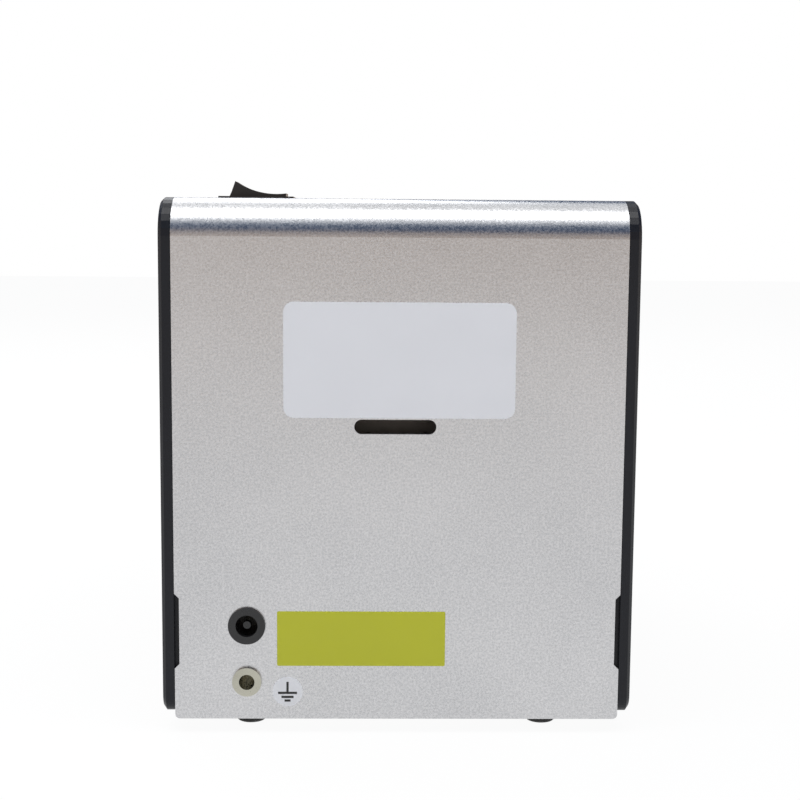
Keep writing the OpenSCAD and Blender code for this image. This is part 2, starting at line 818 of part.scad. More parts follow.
module scoop_screws() {
    color("#3a3c40") both() for (y = scoop_screw_y())
        translate([scoop_x + scoop_t / 2, y, arm_z]) rotate([180, 0, 0]) screw(m2_r, arm_h + 6, m2_head_r, m2_head_h);
}

// ---- Brush ----

module brush_shaft() {
    color("silver") rod_y(0, brush_z, y_hop + 22, y_motor + motor_plate_t + 1, brush_shaft_r);
}

module brush_bushes() {
    color("#c8a24a") for (at = [[y_bulk, y_drive + 1], [y_motor, y_motor + motor_plate_t]]) difference() {
        rod_y(0, brush_z, at[0], at[1], brush_shaft_r + 1.5 - seat);
        rod_y(0, brush_z, at[0] - 1, at[1] + 1, brush_shaft_r + fit);
    }
}

// Toothed sector on the brush shaft, turned to its rest angle, with a gap over the pinion's top tooth
module sector_gear() {
    step = 360 / sector_teeth;
    last = ceil(2 * brush_rest / step) + 1;
    root = sector_r - ded;
    reach = 1.3 * sector_r;
    span = (last + 2) * step;
    mid = -90 + (last - 1) / 2 * step;
    color("#e3e0d6") difference() {
        along_y(gear_y, gear_y + gear_t) translate([0, brush_z]) difference() {
            union() {
                circle(brush_shaft_r + 5);
                for (k = [-1 : last]) polygon(tooth(sector_r, -90 + (k - 0.5) * step));
                intersection() {
                    difference() {
                        circle(root + 0.05, $fn = 120);
                        circle(root - 6, $fn = 120);
                    }
                    rotate(mid) polygon([[0, 0], [reach * cos(span / 2), -reach * sin(span / 2)],
                        [1.5 * reach, 0], [reach * cos(span / 2), reach * sin(span / 2)]]);
                }
                for (s = [-1, 0, 1]) rotate(mid + s * (span / 2 - 4)) translate([brush_shaft_r + 2, -2.5])
                    square([root - brush_shaft_r - 5, 5]);
            }
            circle(brush_shaft_r + seat);
        }
    }
}

// Arm with a channel for the bristles, turned to its rest angle
module brush_arm() {
    color("#2b2d31") at_brush_rest() difference() {
        union() {
            rod_y(0, 0, -brush_w / 2, brush_w / 2, brush_shaft_r + 2.5);
            block(-3, 3, -brush_w / 2, brush_w / 2, -bristle_top() - 4, 0);
        }
        rod_y(0, 0, -brush_w, brush_w, brush_shaft_r + seat);
        block(-1.8, 1.8, -brush_w, brush_w, -bristle_top() - 5, -bristle_top());
    }
}

function bristle_top() = brush_z - rail_top - brush_gap - bristle_l;
function bristle_y(i) = -brush_w / 2 + (i + 0.5) * brush_w / 4;

// Places its children on the brush shaft at the angle of rest
module at_brush_rest() {
    translate([0, y_hop + 30, brush_z]) rotate([0, -brush_rest, 0]) children();
}

module bristles() {
    color("#d9d4c4") at_brush_rest() for (i = [0 : 3]) translate([0, bristle_y(i), -bristle_top() - bristle_l])
        cylinder(r1 = 1.2, r2 = 1, h = bristle_l);
}

// ---- Rail ----

// Rail bar with a relieved inner face under the lip that the screw heads hang on
module rail_bar() {
    color("#c6c9cc") along_y(rail_end, rail_y) polygon([
        [rail_gap / 2, rail_top], [rail_gap / 2, rail_top - 5], [rail_gap / 2 + 1, rail_top - 6],
        [rail_gap / 2 + 1, rail_top - rail_h], [rail_gap / 2 + rail_w, rail_top - rail_h],
        [rail_gap / 2 + rail_w, rail_top - 1], [rail_gap / 2 + rail_w - 1, rail_top]]);
}

module rail_left() {
    mirror([1, 0, 0]) rail_bar();
}

module rail_right() {
    rail_bar();
}

// Beam under the rail bars, slotted below for the leaf springs
module rail_holder() {
    color("#9fa2a5") difference() {
        block(-holder_x, holder_x, rail_end + 10, rail_y - 2, holder_z, holder_z + holder_h);
        for (y = leaf_y) block(-holder_x - 1, holder_x + 1, y - leaf_t / 2 - seat, y + leaf_t / 2 + seat,
            holder_z - 1, holder_z + 5);
        block(-2, 2, rail_end + 14, y_hop - 10, holder_z + 6, holder_z + holder_h + 1);
    }
}

// Two upright leaf springs that carry the holder; their lower ends stand in the spring base
module leaf_springs() {
    color("#8a93a0") for (y = leaf_y)
        block(-leaf_w / 2, leaf_w / 2, y - leaf_t / 2, y + leaf_t / 2, leaf_z, holder_z + 5);
}

module spring_base() {
    play = shake + 0.1;
    color("#7d8084") difference() {
        block(-leaf_w / 2 - 1, leaf_w / 2 + 1, leaf_y[0] - 7, leaf_y[1] + 7, z_floor, z_floor + spring_base_h);
        for (y = leaf_y) block(-leaf_w, leaf_w, y - leaf_t / 2 - play, y + leaf_t / 2 + play,
            leaf_z - 0.3, z_floor + spring_base_h + 1);
        block(-leaf_w, leaf_w, leaf_y[0] + 8, leaf_y[1] - 8, z_floor + 6, z_floor + spring_base_h + 1);
    }
}

// Strap that hangs the vibration motor under the holder
module vibration_clamp() {
    color("#9fa2a5") difference() {
        union() {
            block(-4, 4, vibro_y + 4, vibro_y + 14, vibro_z + vibro_r, holder_z);
            rod_y(0, vibro_z, vibro_y + 4, vibro_y + 14, vibro_r + 1.2);
        }
        rod_y(0, vibro_z, vibro_y, vibro_y + 20, vibro_r + seat);
    }
}

module vibration_motor() {
    color("#b0b2b5") difference() {
        rod_y(0, vibro_z, vibro_y, vibro_y + 18, vibro_r);
        rod_y(0, vibro_z, vibro_y - 1, vibro_y + 6, m2_r + fit);
    }
}

// Half round weight and its shaft
module vibration_weight() {
    color("#6f7276") {
        rod_y(0, vibro_z, vibro_y - 7, vibro_y + 5, m2_r);
        difference() {
            rod_y(0, vibro_z, vibro_y - 6.5, vibro_y - 1, vibro_r - 0.5);
            block(-vibro_r, vibro_r, vibro_y - 7, vibro_y, vibro_z + 1.4, vibro_z + vibro_r);
            rod_y(0, vibro_z, vibro_y - 7, vibro_y, m2_r);
        }
    }
}

// Strip over the rail on its post, which keeps the screws from climbing out
module rail_guard() {
    color("#b4b7ba") difference() {
        union() {
            block(post_x, post_x + post_w, guard_y - 5, guard_y + 5, deck_h, guard_z + 1.5);
            block(-6, post_x + post_w, guard_y - 8, guard_y + 8, guard_z, guard_z + 1.5);
        }
        translate([post_x + post_w / 2, guard_y, deck_h + 4]) cylinder(r = screw_r + seat, h = guard_z - deck_h);
    }
}

// Knurled screw on the guard
module thumb_screw() {
    color("#b9b08a") translate([post_x + post_w / 2, guard_y, guard_z + 1.5]) {
        translate([0, 0, -9]) cylinder(r = screw_r, h = 10);
        linear_extrude(5) difference() {
            circle(4.5);
            for (i = [0 : 19]) rotate(i * 18) translate([4.6, 0]) circle(0.35, $fn = 6);
        }
        cylinder(r = 3.2, h = 5.8);
    }
}

// ---- Pickup ----

// Bracket on the front cover with two posts for the sensors and a boss for the gate's pin
module pickup_bracket() {
    z0 = gate_z - 24;
    color("#3c4046") difference() {
        union() {
            block(-post_x - post_w, post_x + post_w, y_tip, y_front, z0, z0 + 6);
            both() block(post_x, post_x + post_w, y_front - 7, y_front, z0, rail_top - 5);
            block(post_x - 0.5, post_x + post_w, y_tip, y_front - 4, z0, gate_z);
        }
        translate([gate_x, gate_y, z0 - 1]) cylinder(r = gate_pin_r + seat, h = 40);
        both() rod_y(post_x - 4, z0 + 3, y_tip - 1, y_front + 1, screw_r + 0.1);
        both() rod_y(post_x - 4, z0 + 3, y_tip - 1, y_tip + 3, head_r + 0.2);
    }
}

module pickup_pin() {
    color("silver") translate([gate_x, gate_y, gate_z - 10]) cylinder(r = gate_pin_r, h = rail_top + 4 - gate_z + 10);
}

// Sprung flap that holds the first screw at the end of the rail
module pickup_gate() {
    color("#c6c9cc") difference() {
        union() {
            translate([gate_x, gate_y, gate_z + 0.3]) cylinder(r = knuckle_r, h = rail_top + 2.4 - gate_z);
            block(-rail_w, gate_x, gate_y + knuckle_r - 0.3 - gate_t, gate_y + knuckle_r - 0.3,
                gate_z + 0.3, rail_top + 2);
        }
        translate([gate_x, gate_y, gate_z - 1]) cylinder(r = gate_pin_r + fit, h = 40);
        block(-1.6, 1.6, y_tip - 5, rail_end, rail_top - 3, rail_top + 3);
    }
}

// Light barrier: a sender and a receiver on the posts, facing each other over the rail
module sensors() {
    color("#17181b") both() {
        block(post_x, post_x + post_w, y_front - 6.5, y_front - 0.5, rail_top - 5, rail_top + 5);
        rod_x(y_front - 3.5, rail_top + 2, post_x - 0.8, post_x, 1.5);
    }
}

// ---- Electrics ----

// Upright board beside the motor with its larger parts
module circuit_board() {
    y0 = y_motor + 5;
    z0 = board_z;
    color("#1d5b3a") difference() {
        union() {
            block(board_x, board_x + 1.6, y0, y0 + board_d, z0, z0 + board_h);
            for (z = [8, 20]) translate([board_x + 1.6, y0 + 9, z0 + z]) rotate([0, 90, 0]) cylinder(r = 4, h = 9);
            block(board_x + 1.6, board_x + 7, y0 + 16, y0 + 23, z0 + 6, z0 + 26);
            block(board_x + 1.6, board_x + 4, y0 + 8, y0 + 18, z0 + 40, z0 + 50);
            for (z = [board_h - 26, board_h - 16]) block(board_x + 1.6, board_x + 8, y0 + 3, y0 + 9, z0 + z, z0 + z + 8);
        }
        for (y = [3, board_d - 3], z = [3, board_h - 3]) rod_x(y0 + y, z0 + z, board_x - 1, board_x + 3, m2_r + 0.1);
    }
}

module board_standoffs() {
    y0 = y_motor + 5;
    z0 = board_z;
    color("#c8a24a") for (y = [3, board_d - 3], z = [3, board_h - 3]) {
        rod_x(y0 + y, z0 + z, -x_in, board_x, 2.4);
        rod_x(y0 + y, z0 + z, board_x, board_x + 1.6, m2_r);
        rod_x(y0 + y, z0 + z, board_x + 1.6, board_x + 3, m2_head_r);
    }
}

// Power jack: flange, barrel through the cover, socket and centre pin
module dc_jack() {
    color("#1a1b1d") {
        difference() {
            union() {
                rod_y(socket_x, jack_z, y_back, y_back + 0.8, jack_r);
                rod_y(socket_x, jack_z, y_back - 12, y_back, jack_r - 0.8 - seat);
                rod_y(socket_x, jack_z, y_back - sheet_t - 3, y_back - sheet_t, jack_r + 1.4);
            }
            rod_y(socket_x, jack_z, y_back - 9, y_back + 2, jack_r - 2);
        }
        rod_y(socket_x, jack_z, y_back - 10, y_back - 0.5, m2_r);
    }
}

// Ground socket for a 4 mm plug
module ground_socket() {
    color("#96967d") difference() {
        union() {
            rod_y(socket_x, ground_z, y_back, y_back + ground_out, ground_r + 1.8);
            rod_y(socket_x, ground_z, y_back - 16, y_back, ground_r + 1 - seat);
        }
        rod_y(socket_x, ground_z, y_back - 14, y_back + ground_out + 1, ground_r);
    }
}

module ground_nut() {
    color("silver") along_y(y_back - sheet_t - 2.5, y_back - sheet_t) translate([socket_x, ground_z]) difference() {
        circle(ground_r + 3, $fn = 6);
        circle(ground_r + 1);
    }
}

// Snap-in housing of the switch, with a round well that the rocker turns in
module switch_housing() {
    x = rocker_l / 2;
    y = rocker_w / 2;
    color("#141517") difference() {
        union() {
            translate([switch_x, switch_y, 0]) {
                block(-x - 2.5, x + 2.5, -y - 3, y + 3, body_h, body_h + 1.2);
                block(-x - 2 + seat, x + 2 - seat, -y - 1.5 + seat, y + 1.5 - seat, body_h - 19, body_h);
                for (s = [-1, 0, 1]) block(s * 6 - 0.4, s * 6 + 0.4, -2.4, 2.4, body_h - 26, body_h - 18);
            }
        }
        translate([switch_x, switch_y, 0])
            block(-x - 0.8, x + 0.8, -y - 0.4, y + 0.4, rocker_z - x - 0.8, body_h + 2);
    }
}

// Rocker with a hollow top and drafted ends, tilted to its rest side
module rocker() {
    high = 5.4;
    half = rocker_l / 2;
    draft = high * tan(7);
    sag = 1.6;
    top_r = (half * half + sag * sag) / (2 * sag);
    color("#141517") translate([switch_x, switch_y, rocker_z]) rotate([0, -rocker_tilt, 0])
        along_y(-rocker_w / 2, rocker_w / 2) difference() {
            union() {
                circle(half);
                polygon([[-half, 0], [half, 0], [half - draft, high], [draft - half, high]]);
            }
            translate([0, high - sag + top_r]) circle(top_r, $fn = 120);
        }
}

// ---- Plates ----

module white_plate() {
    color("#d9dce1") along_y(y_back, y_back + label_t)
        translate([0, slot_z + slot_w / 2 + plate_h / 2 + 0.4]) plate_2d(plate_w, plate_h, 2.7);
}

// Yellow plate and the round ground sign
module signs() {
    color("#c2c026") along_y(y_back, y_back + label_t)
        translate([9.6, jack_z - 3.5]) plate_2d(caution_w, caution_h, 0.4);
    color("#d0c23a") rod_y(socket_x - 10.7, ground_z - 2.8, y_back, y_back + label_t, 4);
}

rear_cover();
front_cover();
base_plate();
side_cover_left();
side_cover_right();
side_screws();
tie_rods();
feet();
foot_screws();
front_bulkhead();
rear_bulkhead();
hopper();
hopper_screws();
lid();
lid_pins();
motor_plate();
motor_screws();
gearbox();
motor_can();
drive_shaft();
lift_pinion();
brush_pinion();
shaft_bush();
lift_carriage();
carriage_bushes();
lift_rack();
rack_screws();
guide_rods();
rod_bridge();
scoop_left();
scoop_right();
scoop_screws();
brush_shaft();
brush_bushes();
sector_gear();
brush_arm();
bristles();
rail_left();
rail_right();
rail_holder();
leaf_springs();
spring_base();
vibration_clamp();
vibration_motor();
vibration_weight();
rail_guard();
thumb_screw();
pickup_bracket();
pickup_pin();
pickup_gate();
sensors();
circuit_board();
board_standoffs();
dc_jack();
ground_socket();
ground_nut();
switch_housing();
rocker();
white_plate();
signs();
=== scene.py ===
"""Looks of the automatic screw feeder: finishes, the plates and pin on its back, studio and camera."""
import json
import math

import bmesh
import bpy
from mathutils import Matrix, Vector


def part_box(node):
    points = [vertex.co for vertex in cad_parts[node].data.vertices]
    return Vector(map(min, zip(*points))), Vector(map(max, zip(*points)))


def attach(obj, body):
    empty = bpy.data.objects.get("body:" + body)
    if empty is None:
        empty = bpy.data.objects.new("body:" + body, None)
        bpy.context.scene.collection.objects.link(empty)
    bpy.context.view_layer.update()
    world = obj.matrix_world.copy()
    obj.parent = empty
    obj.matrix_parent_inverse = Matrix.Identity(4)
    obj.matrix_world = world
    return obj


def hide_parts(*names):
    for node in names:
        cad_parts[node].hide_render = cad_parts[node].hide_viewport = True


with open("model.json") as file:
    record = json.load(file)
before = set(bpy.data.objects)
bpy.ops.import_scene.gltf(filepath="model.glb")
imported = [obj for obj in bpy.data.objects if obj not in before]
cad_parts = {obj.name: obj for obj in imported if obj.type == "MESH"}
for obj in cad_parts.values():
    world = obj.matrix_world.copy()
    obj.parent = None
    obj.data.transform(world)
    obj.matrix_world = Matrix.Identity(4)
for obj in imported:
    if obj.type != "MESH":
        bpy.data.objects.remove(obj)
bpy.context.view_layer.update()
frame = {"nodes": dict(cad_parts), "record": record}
NODES = frame["nodes"]
MM = 0.001


# ---- Camera ----

def look_from(place, pitch, yaw, roll, focal):
    """Puts the camera at a place in millimetres, looking towards -Y; the angles are in radians."""
    ahead = Vector((math.sin(yaw) * math.cos(pitch), -math.cos(yaw) * math.cos(pitch), -math.sin(pitch)))
    right = Vector((-math.cos(yaw), -math.sin(yaw), 0))
    up = right.cross(ahead)
    turned_right = right * math.cos(roll) + up * math.sin(roll)
    turned_up = up * math.cos(roll) - right * math.sin(roll)
    data = bpy.data.cameras.new("camera")
    data.sensor_width = 36
    data.lens = focal
    data.clip_start = 0.01
    camera = bpy.data.objects.new("camera", data)
    bpy.context.scene.collection.objects.link(camera)
    turn = Matrix((turned_right, turned_up, -ahead)).transposed().to_4x4()
    camera.matrix_world = Matrix.Translation(Vector(place) * MM) @ turn
    bpy.context.scene.camera = camera


look_from(place=(6.9, 447.4, 131.1), pitch=0.1163, yaw=-0.0197, roll=0.008, focal=62.7)


# ---- Shader maths ----

MIX_FIRST, MIX_SECOND, MIX_COLOR = 6, 7, 2  # the colour sockets of a Mix node


class Signal:
    """A shader socket that takes part in sums; each operator adds its Math node."""

    def __init__(self, graph, socket):
        self.graph = graph
        self.socket = socket

    def math(self, operation, *values):
        return self.graph.node("ShaderNodeMath", {"operation": operation}, *values)

    def __add__(self, other):
        return self.math("ADD", self, other)

    __radd__ = __add__

    def __mul__(self, other):
        return self.math("MULTIPLY", self, other)

    __rmul__ = __mul__

    def either(self, other):
        """The larger of two values, which joins two masks."""
        return self.math("MAXIMUM", self, other)

    def clamp(self):
        return self.graph.node("ShaderNodeClamp", {}, self, 0.0, 1.0)

    def ramp(self, low, high, out_low=0.0, out_high=1.0):
        """Maps low..high to out_low..out_high, held at the ends."""
        return self.graph.node("ShaderNodeMapRange", {}, self, low, high, out_low, out_high)


class Graph:
    """The node tree of a material or world, in which one method makes every node."""

    def __init__(self, owner):
        owner.use_nodes = True
        self.tree = owner.node_tree

    def link(self, socket, value):
        """Gives a socket a constant or a link."""
        if isinstance(value, Signal):
            self.tree.links.new(value.socket, socket)
        else:
            socket.default_value = value

    def node(self, kind, settings, *values, output=0, **named):
        """Adds a node: its settings first, then the values or links of its sockets."""
        made = self.tree.nodes.new(kind)
        for key, value in settings.items():
            if key == "stops":
                self.fill_ramp(made.color_ramp, value)
            else:
                setattr(made, key, value)
        for socket, value in zip(made.inputs, values):
            self.link(socket, value)
        for key, value in named.items():
            self.link(made.inputs[key], value)
        return Signal(self, made.outputs[output] if made.outputs else None)

    @staticmethod
    def fill_ramp(ramp, stops):
        while len(ramp.elements) < len(stops):
            ramp.elements.new(0.5)
        for element, (at, color) in zip(ramp.elements, stops):
            element.position = at
            element.color = (*color, 1.0)


class Finish(Graph):
    """One material under construction, with its Principled shader."""

    def __init__(self, name, color, roughness, metallic=0.0, **constants):
        self.material = bpy.data.materials.new(name)
        super().__init__(self.material)
        self.shader = self.tree.nodes["Principled BSDF"]
        self.set("Base Color", (*color, 1.0))
        self.set("Roughness", roughness)
        self.set("Metallic", metallic)
        for key, value in constants.items():
            self.set(key.replace("_", " ").title().replace("Ior", "IOR"), value)
        self.place = self.node("ShaderNodeTexCoord", {}, output="Object")

    def set(self, socket, value):
        self.link(self.shader.inputs[socket], value)

    def noise(self, scale, detail=3.0, roughness=0.5, place=None):
        return self.node("ShaderNodeTexNoise", {}, Vector=place or self.place, Scale=scale, Detail=detail,
                         Roughness=roughness)

    def stretched(self, x, y, z):
        """Object coordinates scaled along each axis, for marks that run one way."""
        return self.node("ShaderNodeMapping", {}, Vector=self.place, Scale=(x, y, z))

    def mix(self, share, first, second):
        """Mixes two plain colours by a share."""
        made = self.tree.nodes.new("ShaderNodeMix")
        made.data_type = "RGBA"
        self.link(made.inputs["Factor"], share)
        self.link(made.inputs[MIX_FIRST], (*first, 1.0))
        self.link(made.inputs[MIX_SECOND], (*second, 1.0))
        return Signal(self, made.outputs[MIX_COLOR])

    def bump(self, height, strength, distance):
        """Feeds a height to the shader's Normal; the distance is in millimetres."""
        self.set("Normal", self.node("ShaderNodeBump", {}, Strength=strength, Distance=distance * MM,
                                     Height=height))


# ---- Finishes ----

def blasted_sheet():
    """Bead-blasted and clear-anodised aluminium: a fine sparkle with soft clouds in it."""
    f = Finish("blasted_sheet", (0.66, 0.665, 0.68), 0.3, metallic=1.0)
    grain = f.noise(1800, detail=2.0, roughness=0.75)
    fine = f.noise(2600, detail=1.0)
    clouds = f.noise(26, detail=3.0, roughness=0.55)
    sparkle = grain.ramp(0.36, 0.64, -0.5, 0.5)
    tone = (sparkle * 0.7 + clouds.ramp(0.3, 0.7, -0.12, 0.12) + 0.5).clamp()
    f.set("Base Color", f.mix(tone, (0.45, 0.455, 0.468), (0.70, 0.702, 0.715)))
    f.set("Roughness", clouds.ramp(0.3, 0.7, 0.27, 0.31) + sparkle * 0.08)
    f.bump(grain + fine * 0.5, 0.6, 0.025)
    return f.material


def moulded_black():
    """Near-black moulded plastic with a fine spark-eroded grain and a faint wear on its high spots."""
    f = Finish("moulded_black", (0.006, 0.007, 0.011), 0.38, specular_ior_level=0.3)
    grain = f.noise(1400, detail=2.0, roughness=0.6)
    handling = f.noise(22, detail=3.0)
    f.set("Base Color", f.mix(handling.ramp(0.35, 0.75), (0.0045, 0.0055, 0.0095), (0.008, 0.0095, 0.0135)))
    f.set("Roughness", handling.ramp(0.3, 0.7, 0.33, 0.43) + grain.ramp(0.3, 0.7, -0.03, 0.03))
    f.bump(grain, 0.3, 0.02)
    return f.material


def gloss_black():
    """Black plastic of the switch, the jack, the sensors and the brush's arm."""
    f = Finish("gloss_black", (0.010, 0.0105, 0.012), 0.3)
    haze = f.noise(160, detail=2.0)
    f.set("Roughness", haze.ramp(0.3, 0.7, 0.25, 0.36))
    f.bump(f.noise(1100, detail=1.0), 0.15, 0.01)
    return f.material


def zinc_plate():
    """Zinc plated steel plate with rolling marks and a pale mottle."""
    f = Finish("zinc_plate", (0.55, 0.56, 0.57), 0.34, metallic=1.0)
    rolled = f.noise(90, detail=4.0, place=f.stretched(0.12, 3.0, 3.0))
    mottle = f.noise(60, detail=3.0)
    f.set("Base Color", f.mix(mottle.ramp(0.3, 0.7), (0.50, 0.515, 0.53), (0.63, 0.635, 0.63)))
    f.set("Roughness", rolled.ramp(0.3, 0.7, 0.26, 0.42))
    f.bump(rolled, 0.12, 0.02)
    return f.material


def turned_metal(name, color, roughness=0.24):
    """Turned or ground metal: fine lines round the piece read as a slight change of roughness."""
    f = Finish(name, color, roughness, metallic=1.0)
    lines = f.noise(900, detail=2.0, place=f.stretched(1.0, 0.2, 1.0))
    stain = f.noise(120, detail=3.0)
    darker = tuple(0.86 * c for c in color)
    f.set("Base Color", f.mix(stain.ramp(0.35, 0.7), darker, color))
    f.set("Roughness", lines.ramp(0.3, 0.7, roughness - 0.06, roughness + 0.08))
    f.bump(lines, 0.1, 0.01)
    return f.material


def milled_aluminium():
    """Milled aluminium with cutter lines along one way."""
    f = Finish("milled_aluminium", (0.6, 0.61, 0.62), 0.32, metallic=1.0)
    lines = f.noise(700, detail=2.0, place=f.stretched(0.1, 1.0, 1.0))
    f.set("Roughness", lines.ramp(0.3, 0.7, 0.25, 0.4))
    f.bump(lines, 0.18, 0.015)
    return f.material


def ground_steel():
    """Hardened and ground steel of the rail, scoops and rack."""
    f = Finish("ground_steel", (0.52, 0.53, 0.55), 0.22, metallic=1.0)
    lines = f.noise(1200, detail=2.0, place=f.stretched(1.0, 0.05, 1.0))
    f.set("Roughness", lines.ramp(0.3, 0.7, 0.16, 0.3))
    f.bump(lines, 0.15, 0.01)
    return f.material


def soft_rubber():
    f = Finish("soft_rubber", (0.012, 0.012, 0.0125), 0.7)
    dust = f.noise(240, detail=4.0)
    f.set("Base Color", f.mix(dust.ramp(0.5, 0.8), (0.011, 0.011, 0.0115), (0.03, 0.03, 0.029)))
    f.set("Roughness", dust.ramp(0.3, 0.7, 0.62, 0.8))
    f.bump(dust, 0.2, 0.03)
    return f.material


def plain_plastic(name, color, roughness=0.45, grain_strength=0.15):
    """Moulded plastic in one colour with a slight unevenness."""
    f = Finish(name, color, roughness)
    flow = f.noise(45, detail=3.0)
    darker = tuple(0.9 * c for c in color)
    f.set("Base Color", f.mix(flow.ramp(0.35, 0.7), darker, color))
    f.set("Roughness", flow.ramp(0.3, 0.7, roughness - 0.05, roughness + 0.07))
    f.bump(f.noise(900, detail=2.0), grain_strength, 0.015)
    return f.material


def clear_lid():
    """Clear acrylic with a faint haze."""
    f = Finish("clear_acrylic", (0.93, 0.96, 0.98), 0.06, ior=1.49)
    f.set("Transmission Weight", 1.0)
    f.set("Roughness", f.noise(60, detail=3.0).ramp(0.35, 0.75, 0.03, 0.1))
    return f.material


def label_film(name, color, roughness=0.38):
    """Printed film: even colour with a slight orange peel."""
    f = Finish(name, color, roughness)
    peel = f.noise(420, detail=1.0)
    tint = f.noise(40, detail=2.0)
    f.set("Base Color", f.mix(tint.ramp(0.3, 0.7), tuple(0.97 * c for c in color), color))
    f.set("Roughness", peel.ramp(0.3, 0.7, roughness - 0.05, roughness + 0.05))
    f.bump(peel, 0.06, 0.02)
    return f.material


def circuit_green():
    """Solder mask with tracks that show through as slightly lighter lines."""
    f = Finish("circuit_green", (0.01, 0.12, 0.05), 0.3)
    cells = f.node("ShaderNodeTexBrick", {"offset": 0.37, "squash": 0.7}, Vector=f.place, Scale=160.0,
                   output="Fac")
    tracks = cells.ramp(0.4, 0.6)
    f.set("Base Color", f.mix(tracks, (0.008, 0.09, 0.04), (0.02, 0.19, 0.08)))
    f.bump(tracks, 0.2, 0.02)
    return f.material


SLOT_FINISH = {
    "sheet_metal": blasted_sheet(),
    "black_cover": moulded_black(),
    "steel_plate": zinc_plate(),
    "rubber": soft_rubber(),
    "steel_screw": turned_metal("plated_screw", (0.6, 0.6, 0.58), 0.28),
    "black_screw": turned_metal("black_screw", (0.035, 0.036, 0.04), 0.36),
    "ground_steel": turned_metal("ground_rod", (0.68, 0.69, 0.7), 0.14),
    "hopper_plastic": plain_plastic("hopper_plastic", (0.62, 0.64, 0.66), 0.4),
    "clear_acrylic": clear_lid(),
    "motor_steel": turned_metal("motor_steel", (0.42, 0.43, 0.44), 0.32),
    "brass": turned_metal("turned_brass", (0.72, 0.52, 0.22), 0.22),
    "gear_plastic": plain_plastic("gear_plastic", (0.72, 0.69, 0.6), 0.38),
    "aluminium": milled_aluminium(),
    "rail_steel": ground_steel(),
    "bracket_paint": plain_plastic("dark_anodised", (0.03, 0.033, 0.038), 0.4, 0.3),
    "black_plastic": gloss_black(),
    "bristle": plain_plastic("bristle_nylon", (0.7, 0.66, 0.52), 0.5),
    "board_green": circuit_green(),
    "nickel": turned_metal("nickel_socket", (0.48, 0.47, 0.40), 0.2),
    "white_label": label_film("white_film", (0.735, 0.75, 0.78)),
    "yellow_label": label_film("yellow_film", (0.47, 0.49, 0.012)),
}
for row in frame["record"]["subparts"]:
    mesh = NODES[row["node"]].data
    mesh.materials.clear()
    mesh.materials.append(SLOT_FINISH[row["material_slot"]])


# ---- Pieces on the back ----

def keep(shape, name, finish, body="housing", smooth=False):
    """Turns a bmesh into a piece at the origin that rides on a body."""
    bmesh.ops.recalc_face_normals(shape, faces=shape.faces)
    mesh = bpy.data.meshes.new(name)
    shape.to_mesh(mesh)
    shape.free()
    for face in mesh.polygons:
        face.use_smooth = smooth
    mesh.materials.append(finish)
    piece = bpy.data.objects.new(name, mesh)
    bpy.context.scene.collection.objects.link(piece)
    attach(piece, body)
    return piece


def box_shape(low, high):
    """A box between two corners in metres."""
    shape = bmesh.new()
    bmesh.ops.create_cube(shape, size=1)
    bmesh.ops.scale(shape, vec=Vector(high) - Vector(low), verts=shape.verts)
    bmesh.ops.translate(shape, vec=(Vector(low) + Vector(high)) / 2, verts=shape.verts)
    return shape


def round_off(shape, edges, radius, segments):
    bmesh.ops.bevel(shape, geom=edges, offset=radius, offset_type="OFFSET", segments=segments, affect="EDGES",
                    profile=0.5, material=-1)


def along(edge, axis):
    """Whether an edge runs along an axis."""
    step = edge.verts[1].co - edge.verts[0].co
    return abs(step[axis]) > 0.99 * step.length


def on_back(edge, y):
    """Whether an edge lies on the outer face of a plate on the back."""
    return all(abs(v.co.y - y) < 1e-6 for v in edge.verts)


def printed_plate(name, low, high, radius, finish):
    """A thin film with round corners and a softened outer edge."""
    shape = box_shape(low, high)
    round_off(shape, [e for e in shape.edges if along(e, 1)], radius, 8)
    rim = [e for e in shape.edges if on_back(e, high[1])]
    round_off(shape, rim, 0.07 * MM, 2)
    return keep(shape, name, finish)


def disc_shape(x, z, low_y, high_y, radius, segments=64):
    """A disc whose axis runs along Y."""
    shape = bmesh.new()
    bmesh.ops.create_cone(shape, cap_ends=True, segments=segments, radius1=radius, radius2=radius,
                          depth=high_y - low_y)
    bmesh.ops.rotate(shape, matrix=Matrix.Rotation(math.radians(90), 3, "X"), verts=shape.verts)
    bmesh.ops.translate(shape, vec=(x, (low_y + high_y) / 2, z), verts=shape.verts)
    return shape


SIGN_LOW, SIGN_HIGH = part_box("signs")
CAUTION_SIZE = (44.3 * MM, 14.7 * MM)
EARTH_R = 4 * MM
INK = label_film("black_ink", (0.012, 0.012, 0.013), 0.45)
INK_T = 0.03 * MM
# The symbol's stem and bars: half width, bottom and top from the middle of the sign, in millimetres
EARTH_BARS = ((0.3, 0.0, 2.7), (2.5, -0.6, 0.0), (1.6, -1.7, -1.1), (0.8, -2.7, -2.1))
JACK_PIN_R = 1.06 * MM
JACK_PIN_L = 6 * MM
JACK_PIN_IN = 1.6 * MM  # how far its nose lies inside the flange


def caution_plate():
    low = (SIGN_LOW.x, SIGN_LOW.y, SIGN_HIGH.z - CAUTION_SIZE[1])
    high = (SIGN_LOW.x + CAUTION_SIZE[0], SIGN_HIGH.y, SIGN_HIGH.z)
    piece = printed_plate("caution_plate", low, high, 0.4 * MM, SLOT_FINISH["yellow_label"])
    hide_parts("signs")


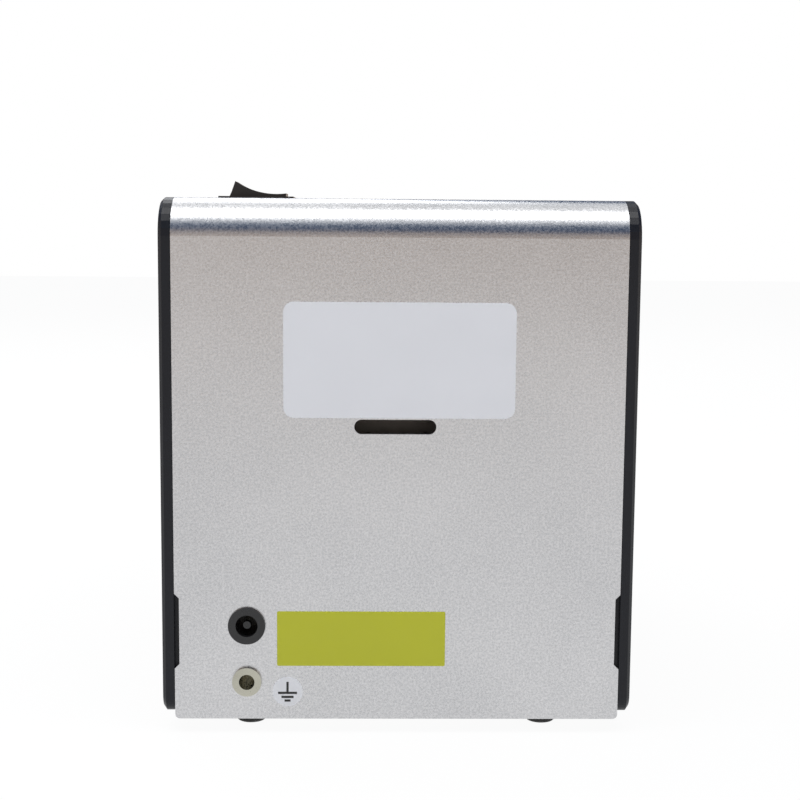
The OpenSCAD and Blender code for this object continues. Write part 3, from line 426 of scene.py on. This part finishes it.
def earth_sign():
    """Round pale film with the earth symbol: a stem over three bars."""
    x = SIGN_HIGH.x - EARTH_R
    z = SIGN_LOW.z + EARTH_R
    face = SIGN_HIGH.y - INK_T
    disc = disc_shape(x, z, SIGN_LOW.y, face, EARTH_R)
    rim = [e for e in disc.edges if on_back(e, face)]
    round_off(disc, rim, 0.05 * MM, 2)
    film = keep(disc, "earth_sign", SLOT_FINISH["white_label"])
    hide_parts("signs")
    ink = bmesh.new()
    for half, bottom, top in EARTH_BARS:
        made = bmesh.ops.create_cube(ink, size=1)["verts"]
        bmesh.ops.scale(ink, vec=(2 * half * MM, INK_T, (top - bottom) * MM), verts=made)
        bmesh.ops.translate(ink, vec=(x, SIGN_HIGH.y - INK_T / 2, z + (top + bottom) / 2 * MM), verts=made)
    keep(ink, "earth_symbol", INK)


def jack_pin():
    """Plated centre pin of the power jack, with a round nose."""
    low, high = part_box("dc_jack")
    x, z = (low.x + high.x) / 2, (low.z + high.z) / 2
    nose = high.y - JACK_PIN_IN
    shape = disc_shape(x, z, nose - JACK_PIN_L, nose, JACK_PIN_R, 32)
    round_off(shape, [e for e in shape.edges if on_back(e, nose)], 0.6 * MM, 5)
    keep(shape, "jack_pin", SLOT_FINISH["nickel"], smooth=True)


caution_plate()
earth_sign()
jack_pin()


# ---- Studio ----

ROOM_LIGHT = (
    (0.0, (0.82, 0.84, 0.87)), (0.42, (0.82, 0.84, 0.87)), (0.47, (0.78, 0.66, 0.57)),
    (0.56, (0.74, 0.60, 0.50)), (0.60, (0.58, 0.49, 0.43)), (0.645, (0.035, 0.07, 0.15)),
    (0.82, (0.05, 0.10, 0.19)), (0.87, (0.95, 0.97, 1.0)), (1.0, (1.0, 1.0, 1.0)),
)
GLOW = 0.94  # how much of the floor's look is plain white

def floor_material():
    """White to the eye and in reflections, with a share that still takes the shadow."""
    material = bpy.data.materials.new("floor")
    graph = Graph(material)
    graph.tree.nodes.clear()
    camera, glossy, through = (graph.node("ShaderNodeLightPath", {}, output=ray)
                               for ray in ("Is Camera Ray", "Is Glossy Ray", "Is Transmission Ray"))
    seen = camera.either(glossy).either(through)
    matt = graph.node("ShaderNodeBsdfDiffuse", {}, Color=(0.86, 0.86, 0.86, 1.0))
    glow = graph.node("ShaderNodeEmission", {}, Strength=1.0)
    graph.node("ShaderNodeOutputMaterial", {}, graph.node("ShaderNodeMixShader", {}, seen * GLOW, matt, glow))
    return material


def floor():
    shape = bmesh.new()
    bmesh.ops.create_grid(shape, x_segments=1, y_segments=1, size=4)
    mesh = bpy.data.meshes.new("floor")
    shape.to_mesh(mesh)
    shape.free()
    piece = bpy.data.objects.new("floor", mesh)
    bpy.context.scene.collection.objects.link(piece)
    mesh.materials.append(floor_material())


def sky():
    """Room light by height: pale floor light, a warm wall, a dim blue band over it, and a bright ceiling."""
    world = bpy.data.worlds.new("room")
    bpy.context.scene.world = world
    graph = Graph(world)
    graph.tree.nodes.clear()
    place = graph.node("ShaderNodeTexCoord", {}, output="Generated")
    height = graph.node("ShaderNodeSeparateXYZ", {}, place, output="Z")
    light = graph.node("ShaderNodeValToRGB", {"stops": ROOM_LIGHT}, height.ramp(-1.0, 1.0))
    room = graph.node("ShaderNodeBackground", {}, light)
    white = graph.node("ShaderNodeBackground", {}, (1.0, 1.0, 1.0, 1.0))
    camera = graph.node("ShaderNodeLightPath", {}, output="Is Camera Ray")
    graph.node("ShaderNodeOutputWorld", {}, graph.node("ShaderNodeMixShader", {}, camera, room, white))


def lamp(name, place, aim, size, power):
    data = bpy.data.lights.new(name, "AREA")
    data.shape = "RECTANGLE"
    data.size, data.size_y = size
    data.energy = power
    piece = bpy.data.objects.new(name, data)
    bpy.context.scene.collection.objects.link(piece)
    piece.location = place
    piece.rotation_euler = (Vector(aim) - Vector(place)).to_track_quat("-Z", "Y").to_euler()


floor()
sky()
lamp("key_lamp", (0, 0.42, 1.3), (0, 0, 0.07), (2.2, 0.5), 13)
lamp("fill_lamp", (0.5, -0.9, 1.1), (0, 0, 0.07), (1.4, 0.7), 9)
bpy.context.scene.view_settings.view_transform = "Standard"
